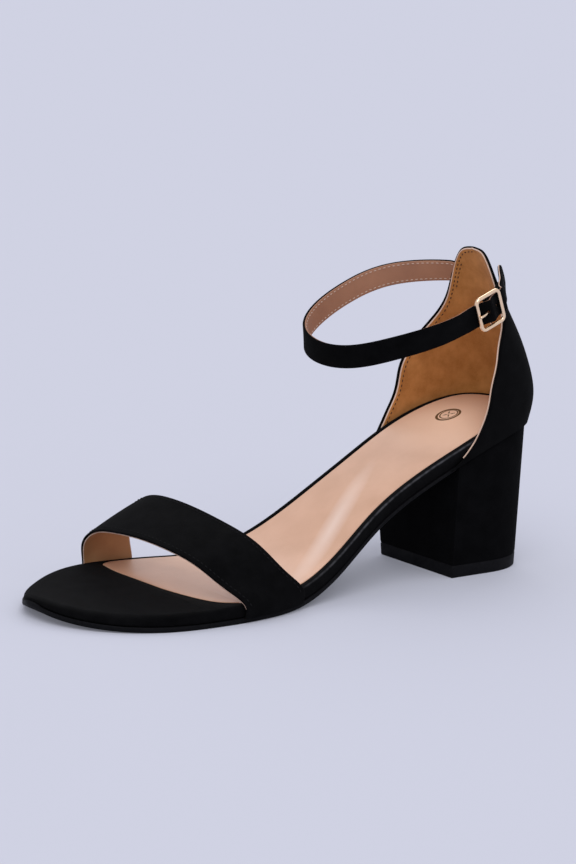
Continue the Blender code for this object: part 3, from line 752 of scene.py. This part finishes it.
def mark_wear(board):
    """Wear along the upper edge of the lateral side, strongest where the arch rises."""
    wear = board.data.color_attributes.new("wear", "FLOAT_COLOR", "POINT")
    places = np.array([v.co for v in board.data.vertices])
    station = y_station(places[:, 1])
    inside = centre_at(station) + half_width_at(station) - places[:, 0]
    below = board_top(places[:, 1]) - places[:, 2]
    on_edge = np.exp(-((inside - WEAR_INSIDE) / WEAR_WIDTH) ** 2
                     - ((below - WEAR_BELOW) / WEAR_HEIGHT) ** 2)
    reach = (np.clip((station - WEAR_FROM) / WEAR_EASE, 0, 1)
             * np.clip((WEAR_TO - station) / WEAR_EASE, 0, 1))
    for i, value in enumerate(on_edge * reach):
        wear.data[i].color = (value, value, value, 1.0)


def make_sole():
    breast = float(y_station(BREAST_TOP - GAP))
    layers = rounded_layers(OUTSOLE_PROUD, outsole_top, outsole_bottom, SOLE_EDGE, 2)
    outsole = add_piece("outsole_tread", *rows_solid(plate(sole_stations(breast, 1), layers)),
                        OUTSOLE_RUBBER, "black_rubber")
    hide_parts("outsole")

    stations = sole_stations()
    board = add_piece("board_wrap", *rows_solid(plate(stations, board_layers(stations))),
                      BOARD_BLACK)
    layers = [(GAP, lambda y: insole_top(y) - INSOLE_THICK - GAP),
              (GAP, lambda y: insole_top(y) + INSOLE_THICK)]
    recess = add_piece("recess_cut", *rows_solid(insole_rings(layers)), BOARD_BLACK)
    apply_boolean(board, recess, "DIFFERENCE", "MANIFOLD")
    mark_wear(board)
    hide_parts("insole_board")

    layers = rounded_layers(0.0, insole_top, lambda y: insole_top(y) - INSOLE_THICK, SOLE_EDGE, 3)
    insole = add_piece("insole_cover", *rows_solid(insole_rings(layers)), TAN, "tan_insole")
    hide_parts("insole")


# Heel
def heel_rows(fraction, height, inset):
    """Left and right rows of the heel between its ground face (0) and its top (1)."""
    fine = np.linspace(0, 1, 61) ** 0.9
    stations = float(y_station(BREAST_TOP)) * fine
    pair = []
    for side in (-1, 1):
        top = outline(stations, side, HEEL_TOP_PROUD)
        share = (top[:, 1] - BREAST_TOP) / (top[0, 1] - BREAST_TOP)
        low_y = HEEL_FRONT + share * (HEEL_REAR - HEEL_FRONT)
        beyond = np.clip((low_y - HEEL_ROUND_FROM) / (HEEL_REAR - HEEL_ROUND_FROM), 0, 1)
        low_x = side * HEEL_HALF_WIDTH * (1 - beyond ** HEEL_ROUNDNESS) ** (1 / HEEL_ROUNDNESS)
        x = low_x + fraction * (top[:, 0] - low_x)
        y = low_y + fraction * (top[:, 1] - low_y)
        middle = y[-1] + 0.024
        shrink = 1 - inset / np.hypot(x, y - middle)
        pair.append(np.column_stack([x * shrink, middle + (y - middle) * shrink,
                                     height(top[:, 1])]))
    return pair


HEEL_SEAM = 0.00003           # the cover comes down to the lift


def make_heel():
    low = LIFT_HEIGHT + HEEL_SEAM
    full = float(board_bottom(BREAST_TOP)[0]) - GAP
    lift_fraction = LIFT_HEIGHT / full
    rings = []
    for step, inset in ((0.0, 0.0003), (0.008, 0.0001), (0.02, 0.0), (0.25, 0.0), (0.5, 0.0),
                        (0.75, 0.0), (0.985, 0.0), (1.0, 0.0004)):
        fraction = lift_fraction + (1 - lift_fraction) * step
        rings.append(heel_rows(fraction,
                               lambda y, s=step: low + s * (board_bottom(y) - GAP - low), inset))
    block = add_piece("heel_cover", *rows_solid(rings), HEEL_BLACK, "black_suede", 40)
    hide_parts("heel_block")

    rings = []
    for height, inset in ((0.0, 0.0004), (0.0004, 0.0), (0.005, 0.0), (LIFT_HEIGHT, 0.0003)):
        rings.append(heel_rows(lift_fraction * height / LIFT_HEIGHT,
                               lambda y, h=height: 0 * y + h, inset))
    lift = add_piece("heel_lift", *rows_solid(rings), LIFT_RUBBER, "black_rubber", 40)
    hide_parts("top_lift")


# Counter
COUNTER_ROWS = 72
COUNTER_COLUMNS = 96
ARC_STATIONS = np.linspace(0, 0.36, 241)
ARC_LENGTH = run_length(np.column_stack([outline(ARC_STATIONS, 1, WALL), 0 * ARC_STATIONS]))


def counter_point(station, side, height, offset):
    plan = outline(station, side, offset)
    x = plan[:, 0] * width_factor_at(height)
    return np.column_stack([x, plan[:, 1] + shift_at(height), height])


def edge_curve(side, inset, folded=False):
    """One side's edge from its foot to the peak, moved in by the inset, and by the fold too
    where it is for the lining."""
    knots = np.arange(len(COUNTER_EDGE))
    edge = natural_cubic(knots, np.column_stack([column(COUNTER_EDGE, "height"),
                                                 column(COUNTER_EDGE, side)]))
    rows = edge(np.linspace(0, knots[-1], COUNTER_ROWS))
    flat = np.column_stack([np.interp(rows[:, 1], ARC_STATIONS, ARC_LENGTH), rows[:, 0]])
    run = unit(np.gradient(flat, axis=0))
    inward = np.column_stack([-run[:, 1], run[:, 0]])
    inward[-1] = (0, -1)
    ease = np.clip(np.arange(COUNTER_ROWS) / 3, 0, 1)[:, None]
    fold = np.interp(rows[:, 0], column(FOLDS, "height"), column(FOLDS, side))[:, None]
    flat = flat + inward * ease * (inset + folded * fold)
    stations = np.interp(np.clip(flat[:, 0], ARC_LENGTH[1] * 0.2, None), ARC_LENGTH, ARC_STATIONS)
    return np.column_stack([flat[:, 1], stations])


def counter_grid(offset, inset, folded=False):
    """Rows of points from the counter's foot to its peak, each from medial to lateral."""
    floor, peak = COUNTER_EDGE[0].height, COUNTER_EDGE[-1].height
    spread = np.linspace(-1, 1, COUNTER_COLUMNS + 1)
    spread = np.sign(spread) * np.abs(spread) ** 0.9
    side = np.where(spread < 0, -1, 1)
    bottom = []
    for s, d in zip(np.abs(spread) * COUNTER_EDGE[0].medial, side):
        seat = board_bottom(station_y(s))
        bottom.append(board_bottom(counter_point(s, d, seat, offset)[0, 1])[0])
    bottom = np.array(bottom)
    grid = np.empty((COUNTER_ROWS, len(spread), 3))
    for d, name in ((-1, "medial"), (1, "lateral")):
        pick = side == d
        for i, (height, station) in enumerate(edge_curve(name, inset, folded)):
            rise = (peak - height) / (peak - floor)
            heights = height + rise * (bottom[pick] - floor)
            grid[i, pick] = counter_point(np.abs(spread[pick]) * station, d, heights, offset)
    return grid


def border_line(grid, from_row=0):
    """The open border of a counter grid, from the medial foot over the peak to the lateral."""
    return np.concatenate([grid[from_row:, 0], grid[-1, 1:-1], grid[from_row:, -1][::-1]])


def grid_normals(grid):
    normal = np.cross(np.gradient(grid, axis=0), np.gradient(grid, axis=1))
    return unit(normal + 1e-12)


LINING_FOOT = 4               # the lining and its edge start at this row
COUNTER_MIDDLE = np.array([0, -0.02, 0.09])
STITCHED_TO = 0.62            # share of the peak that the edge's stitches cross


def make_counter():
    shell = sheet_solid(counter_grid, GAP + WALL, GAP + LINING + 2 * LAYER_GAP)
    shell = add_piece("counter_shell", *shell, BLACK)
    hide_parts("counter_and_ankle_strap")
    lining = lambda offset, inset: counter_grid(offset, inset, True)[LINING_FOOT:]
    add_piece("counter_lining", *sheet_solid(lining, GAP + LINING, GAP), LINING_SUEDE)
    edge = border_line(counter_grid(GAP + LINING * 0.6, 0.0, True), LINING_FOOT)
    pale_edge("counter_lining_edge", edge, EDGE_BEAD)
    for tag, inset, low, high, over in (
            ("edge", STITCHES_IN, 0.0, 1.0, int(STITCHED_TO * COUNTER_COLUMNS)),
            ("strap_joint", STITCHES_IN + SECOND_ROW_IN, JOINT_LOW, JOINT_HIGH, 0)):
        grid = counter_grid(GAP, inset, True)
        normal = grid_normals(grid)
        normal *= np.sign(np.sum(normal * (COUNTER_MIDDLE - grid), axis=2))[..., None]
        rows = [i for i in range(LINING_FOOT, COUNTER_ROWS) if low < grid[i, 0, 2] < high]
        line = np.concatenate([grid[rows, 0], grid[-1, 1:over]])
        way = np.concatenate([normal[rows, 0], normal[-1, 1:over]])
        stitches(f"counter_stitches_{tag}", line, way, BROWN_THREAD)


# The buckle's own axes
def buckle_axes():
    along = BUCKLE_ALONG.normalized()
    up = Vector((0, 0, 1))
    across = (up - up.dot(along) * along).normalized()
    return along, across, along.cross(across)


def buckle_matrix():
    turn = Matrix(buckle_axes()).transposed()
    return Matrix.Translation(BUCKLE_CENTRE) @ turn.to_4x4()


def in_buckle(along, out, across=0.0):
    return np.array(buckle_matrix() @ Vector((along, across, out)))


def from_buckle(path):
    """Points of the row along the buckle's own axes."""
    inverse = buckle_matrix().inverted()
    return np.array([inverse @ Vector(point) for point in path])


def in_wall(place, side, rise=0.0):
    """A point in the middle of the counter's wall."""
    return counter_point(place.station, side, np.array([place.height + rise]), GAP + WALL / 2)[0]


def wall_up(place, side):
    return unit(in_wall(place, side, 0.003) - in_wall(place, side, -0.003))


# Ankle strap
def strap_path():
    root = [in_wall(place, -1) for place in STRAP_ROOT]
    woven = [in_buckle(w.along, w.out) for w in STRAP_IN_BUCKLE]
    return through_points([*root, *STRAP_LOOP, *woven, *STRAP_TAIL], 16)


def strap_up(path):
    """Which way the strap's width points: along the wall at its root, then upright, square to
    the frame inside the buckle, and leaning inward beyond it."""
    across, away = np.array(buckle_axes()[1]), np.linalg.norm(from_buckle(path), axis=1)
    share = np.clip((IN_BUCKLE_TO - away) / (IN_BUCKLE_TO - IN_BUCKLE_FROM), 0, 1)[:, None]
    up = np.array([0.0, 0.0, 1.0]) * (1 - share) + across * share
    run = run_length(path)
    lean = np.clip((UPRIGHT_FROM - run) / (UPRIGHT_FROM - ROOT_LENGTH), 0, 1)[:, None]
    flare = FLARE * np.clip((run - UPRIGHT_FROM) / FLARE_LENGTH, 0, 1)
    flare = np.where(run > run[np.argmin(away)], -TAIL_LEAN, flare)[:, None] * (1 - share)
    up = up + np.cross(unit(np.gradient(path, axis=0)), up) * flare
    return up * (1 - lean) + wall_up(STRAP_ROOT[1], -1) * lean


def ribbon(path, up, width, columns=9, tip=0.0):
    """grid(offset, inset) of a flat strap along a path, with a round tip of the given length."""
    along = unit(np.gradient(path, axis=0))
    across = unit(up - np.sum(up * along, axis=1)[:, None] * along)
    out = np.cross(along, across)
    length = run_length(path)

    def grid(offset, inset):
        at = np.clip(length, inset, length[-1] - inset)
        place = on_line(at, length, path)
        half = np.full(len(path), width / 2)
        if tip:
            reach = np.clip((at - (length[-1] - tip)) / tip, 0, 0.985)
            half = width / 2 * np.sqrt(1 - reach ** 2.2)
        half = np.maximum(half - inset, 0.0001)
        spread = np.linspace(-1, 1, columns)
        return (place[:, None] + across[:, None] * (half[:, None] * spread)[..., None]
                + out[:, None] * offset)

    return grid, out


def hole_places(path, out):
    """Centres and directions of the punched holes, the first where the prong comes through."""
    local = from_buckle(path)
    near = np.abs(local[:, 2]) + np.abs(local[:, 1]) < 0.006
    length = run_length(path)
    start = np.interp(HOLE_AT, local[near, 0], length[near])
    places = []
    for k in range(HOLE_COUNT):
        at = start + k * HOLE_SPACING
        places.append((on_line(at, length, path)[0], unit(on_line(at, length, out))[0]))
    return places


STRAP_FROM = 14               # the strap's visible layers start at this point of its path
TAIL_ROWS = 64                # beyond the buckle its back is black, with a pale edge
STRAP_LINING_THICK = 0.0006
STRAP_LINING_IN = 0.00025     # the lining stops this far inside the strap's edges
STRAP_STITCHES_IN = 0.0013


def make_ankle_strap():
    path = strap_path()
    up = strap_up(path)
    path, up = path[STRAP_FROM:], up[STRAP_FROM:]
    grid, out = ribbon(path, up, STRAP_WIDTH, tip=0.004)
    half = STRAP_THICK / 2
    split = -half + STRAP_LINING_THICK
    outer = add_piece("ankle_strap", *sheet_solid(grid, half, split + LAYER_GAP), BLACK)
    inner_grid = lambda offset, inset: grid(offset, inset + STRAP_LINING_IN)
    lining_grid = lambda offset, inset: inner_grid(offset, inset)[:-TAIL_ROWS]
    tail_grid = lambda offset, inset: inner_grid(offset, inset)[-TAIL_ROWS:]
    inner = add_piece("ankle_strap_lining", *sheet_solid(lining_grid, split, -half), STRAP_LINING)
    tail = add_piece("ankle_strap_tail_back", *sheet_solid(tail_grid, split, -half), BLACK)
    pale_edge("ankle_strap_tail_edge", border_line(grid(split, 0.0)[-TAIL_ROWS:]), FINE_BEAD)
    for strap in (outer, inner, tail):
        for centre, way in hole_places(path, out):
            reach = way * STRAP_THICK * 1.2
            pin = tube([centre - reach, centre + reach], HOLE_RADIUS, 16)
            apply_boolean(strap, add_piece("hole_cut", *pin, BLACK), "DIFFERENCE")
    for edge, tag in ((0, "low"), (-1, "high")):
        rows = grid(-half, STRAP_STITCHES_IN)[4:-TAIL_ROWS, edge]
        stitches(f"ankle_strap_stitches_{tag}", rows, -out[4:-TAIL_ROWS], PALE_THREAD)


# Buckle and its tab
def rounded_frame():
    half_x, half_y = (FRAME_LENGTH - FRAME_BAR) / 2, (FRAME_HEIGHT - FRAME_BAR) / 2
    points = []
    for quarter, (sx, sy) in enumerate(((1, 1), (-1, 1), (-1, -1), (1, -1))):
        for k in range(9):
            angle = math.radians(90 * quarter + 11.25 * k)
            points.append((sx * (half_x - FRAME_CORNER) + FRAME_CORNER * math.cos(angle),
                           sy * (half_y - FRAME_CORNER) + FRAME_CORNER * math.sin(angle), 0.0))
    return points


def make_buckle():
    place = buckle_matrix()
    into_row = lambda points: [place @ Vector(p) for p in points]
    points, faces = tube(rounded_frame(), FRAME_BAR / 2, 20, True, (0, 0, 1))
    ring = add_piece("buckle_ring", into_row(points), faces, ROSE_GOLD, "rose_gold")
    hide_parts("buckle_frame")
    reach = (FRAME_HEIGHT - FRAME_BAR) / 2
    crank = [(0, -reach, 0), (0, -reach + 0.0004, -0.0007), (0, -reach + 0.0009, -0.0013),
             (0, -reach + 0.0015, -MIDDLE_DROP)]
    bar = crank + [(0, -y, z) for _, y, z in reversed(crank)]
    points, faces = tube(bar, MIDDLE_BAR / 2, 16, across=(1, 0, 0))
    add_piece("buckle_middle_bar", into_row(points), faces, ROSE_GOLD, "rose_gold")

    loop = MIDDLE_BAR / 2 + FIT + PRONG / 2
    path = [(loop * math.cos(math.radians(a)), 0, -MIDDLE_DROP + loop * math.sin(math.radians(a)))
            for a in range(-150, 91, 12)]
    path += [tuple(p) for p in through_points([(w.along, 0, w.out) for w in PRONG_RUN], 4)]
    radius = np.full(len(path), PRONG / 2) * np.linspace(1, 1.35, len(path))
    radius[-3:] *= (0.98, 0.9, 0.6)
    points, faces = tube(path, radius, 16, across=(0, 1, 0))
    prong = add_piece("buckle_pin", into_row(points), faces, ROSE_GOLD, "rose_gold")
    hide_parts("buckle_prong")

    run = [in_buckle(w.along, w.out) for w in TAB_RUN] + [in_wall(TAB_IN_WALL, 1)]
    path = through_points(run, 10)
    lean = np.clip(np.linspace(-1, 0.6, len(path)), 0, 1)[:, None]
    up = np.array(buckle_axes()[1]) * (1 - lean) + wall_up(TAB_IN_WALL, 1) * lean
    grid, _ = ribbon(path, up, TAB_WIDTH)
    tab = add_piece("buckle_tab", *sheet_solid(grid, TAB_THICK / 2, -TAB_THICK / 2), BLACK)
    bore = MIDDLE_BAR / 2 + FIT
    along = np.array(buckle_axes()[0])
    for radius, reach, operation in ((bore + TAB_LAYER, TAB_WIDTH / 2, "UNION"),
                                     (bore, TAB_WIDTH, "DIFFERENCE")):
        ends = [in_buckle(0, -MIDDLE_DROP, a) for a in (-reach, reach)]
        tool = add_piece("tab_cut", *tube(ends, radius, 24, across=along), BLACK)
        apply_boolean(tab, tool, operation)


# Toe strap
TOE_STEPS = 14
TOE_COLUMNS = 28
TOE_CLEAR = 0.0001            # more than the gap, between its feet and the board's sides
TOE_LINING_IN = 0.0007        # from the toe strap's edges to its lining
TOE_EDGE_IN = 0.0006          # and to the lining's pale edge
TOE_STITCHES_IN = 0.0024


def toe_outer(share):
    """One line across the toe strap's outer face, at a share from its front to its rear."""
    feet = []
    for foot in TOE_FEET:
        y = foot.front_y + share * (foot.rear_y - foot.front_y)
        x, y = outline(y_station(y), foot.side, GAP + TOE_WALL + TOE_CLEAR)[0]
        feet.append([(x, y, float(outsole_top(y)[0]) + GAP), (x, y, float(board_top(y)[0]))])
    arch = np.array(TOE_ARCH)
    middle = arch[:, :3] + share * (arch[:, 3:] - arch[:, :3])
    middle[:, 2] += TOE_CROWN * 4 * share * (1 - share)
    return through_points(feet[0] + list(map(tuple, middle)) + feet[1][::-1], TOE_STEPS)


TOE_SHARES = np.linspace(0, 1, TOE_COLUMNS + 1)
TOE_OUTER = np.stack([toe_outer(share) for share in TOE_SHARES], axis=1)
TOE_NORMAL = grid_normals(TOE_OUTER)
TOE_NORMAL *= np.sign(np.sum(TOE_NORMAL * (TOE_OUTER - TOE_OUTER.mean(axis=(0, 1))
                                           + np.array([0, 0, 0.01])), axis=2))[..., None]


def toe_grid(offset, inset):
    """Points this far above the toe strap's outer face and this far in from its edges."""
    across = run_length(TOE_OUTER[len(TOE_OUTER) // 2])
    shares = np.clip(across / across[-1], inset / across[-1], 1 - inset / across[-1])
    place = shares * TOE_COLUMNS
    low = np.clip(place.astype(int), 0, TOE_COLUMNS - 1)
    part = (place - low)[None, :, None]
    points = TOE_OUTER[:, low] * (1 - part) + TOE_OUTER[:, low + 1] * part
    normal = TOE_NORMAL[:, low] * (1 - part) + TOE_NORMAL[:, low + 1] * part
    return points + unit(normal) * offset


def make_toe_strap():
    outer = add_piece("toe_strap_shell",
                      *sheet_solid(toe_grid, 0.0, -TOE_WALL + LINING + LAYER_GAP), BLACK)
    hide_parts("toe_strap")
    lining_grid = lambda offset, inset: toe_grid(offset, inset + TOE_LINING_IN)
    add_piece("toe_strap_lining", *sheet_solid(lining_grid, -TOE_WALL + LINING, -TOE_WALL),
              TOE_LINING)
    for tag, index in (("front", 0), ("rear", -1)):
        line = toe_grid(-TOE_WALL + LINING * 0.4, TOE_EDGE_IN)[10:-10, index]
        pale_edge(f"toe_strap_lining_edge_{tag}", line, FINE_BEAD, TOE_BEAD_STEP)
        line = toe_grid(0.0, TOE_STITCHES_IN)[12:-12, index]
        way = TOE_NORMAL[12:-12, 2 if index == 0 else -3]
        stitches(f"toe_strap_stitches_{tag}", line, way, BLACK_THREAD)


# Stamp on the insole
STAMP_AT = (-0.0048, -0.0031)
RINGS = table("tag radius thick", ("outer", 0.0050, 0.00125), ("inner", 0.0038, 0.00040))
PETALS = 4
PETAL_FROM, PETAL_TO = 0.0004, 0.0027
PETAL_THIN, PETAL_SWELL = 0.00014, 0.00050
PRINT_RISE = 0.00011          # the print stands this far out of the insole


def on_insole(radius, angle, rise):
    """A place in the stamp, which lies on the insole's top."""
    x, y = STAMP_AT[0] + radius * math.cos(angle), STAMP_AT[1] + radius * math.sin(angle)
    return [x, y, float(insole_top(y)[0]) + rise]


def make_stamp():
    """A plain pair of rings round a petalled figure."""
    for ring in RINGS:
        line = [on_insole(ring.radius, angle, PRINT_RISE - ring.thick)
                for angle in np.linspace(0, 2 * math.pi, 73)[:-1]]
        add_piece(f"insole_ring_{ring.tag}", *tube(line, ring.thick, 12, True, (0, 0, 1)),
                  STAMP_INK, "tan_insole")
    reach = np.linspace(PETAL_FROM, PETAL_TO, 9)
    thick = PETAL_THIN + PETAL_SWELL * np.sin(np.linspace(0, math.pi, 9))
    petals = []
    for k in range(PETALS):
        angle = (k + 0.5) * 2 * math.pi / PETALS
        line = [on_insole(r, angle, PRINT_RISE - t) for r, t in zip(reach, thick)]
        petals.append(tube(line, thick, 12))
    add_piece("insole_petals", *joined(petals), STAMP_INK, "tan_insole")


make_sole()
make_heel()
make_counter()
make_ankle_strap()
make_buckle()
make_toe_strap()
make_stamp()


# Floor, light and camera
FLOOR_REACH = 30.0
FLOOR_COLOUR = (0.500, 0.508, 0.573)
FLOOR_GLOW = (0.83, 0.85, 0.98)
GLOW_STRENGTH = 0.115
AMBIENT_COLOUR = (0.90, 0.91, 1.0)
AMBIENT_STRENGTH = 0.74


def make_floor():
    """A pale floor, partly lit from within, like a studio sweep."""
    mesh = bpy.data.meshes.new("floor")
    mesh.from_pydata([(x * FLOOR_REACH, y * FLOOR_REACH, 0)
                      for x, y in ((-1, -1), (1, -1), (1, 1), (-1, 1))], [], [(0, 1, 2, 3)])
    finish, _, shader = new_material("floor")
    set_values(shader, {"Base Color": (*FLOOR_COLOUR, 1.0), "Roughness": 1.0,
                        "Specular IOR Level": 0.0, "Emission Color": (*FLOOR_GLOW, 1.0),
                        "Emission Strength": GLOW_STRENGTH})
    mesh.materials.append(finish)
    floor = bpy.data.objects.new("floor", mesh)
    bpy.context.collection.objects.link(floor)


def sun_light(name, direction, strength, spread):
    """A distant soft light shining along the direction."""
    lamp = bpy.data.lights.new(name, "SUN")
    lamp.energy, lamp.angle = strength, math.radians(spread)
    made = bpy.data.objects.new(name, lamp)
    bpy.context.collection.objects.link(made)
    made.rotation_euler = Vector(direction).to_track_quat("-Z", "Y").to_euler()


def make_light():
    world = bpy.data.worlds.new("studio")
    bpy.context.scene.world = world
    world.use_nodes = True
    set_values(world.node_tree.nodes["Background"],
               {"Color": (*AMBIENT_COLOUR, 1.0), "Strength": AMBIENT_STRENGTH})
    sun_light("key", (-0.55, 0.35, -0.9), 1.0, 50)
    sun_light("back", (0.6, -0.5, -0.7), 0.68, 40)


AZIMUTH, ELEVATION, ROLL = math.radians(53.0), math.radians(11.18), math.radians(2.127)
CAMERA_DISTANCE = 1.11074
CAMERA_TARGET = Vector((-0.00394, -0.08973, 0.06395))
FOCAL_MM = 112.95


def make_camera():
    back = Vector((math.sin(AZIMUTH) * math.cos(ELEVATION),
                   -math.cos(AZIMUTH) * math.cos(ELEVATION), math.sin(ELEVATION)))
    right = Vector((math.cos(AZIMUTH), math.sin(AZIMUTH), 0))
    up = back.cross(right)
    across = right * math.cos(ROLL) + up * math.sin(ROLL)
    upward = up * math.cos(ROLL) - right * math.sin(ROLL)
    view = bpy.data.cameras.new("camera")
    view.lens, view.sensor_width = FOCAL_MM, 36
    camera = bpy.data.objects.new("camera", view)
    bpy.context.collection.objects.link(camera)
    turn = Matrix((across, upward, back)).transposed().to_4x4()
    camera.matrix_world = Matrix.Translation(CAMERA_TARGET + back * CAMERA_DISTANCE) @ turn
    bpy.context.scene.camera = camera


make_floor()
make_light()
make_camera()
bpy.context.scene.view_settings.view_transform = "Standard"
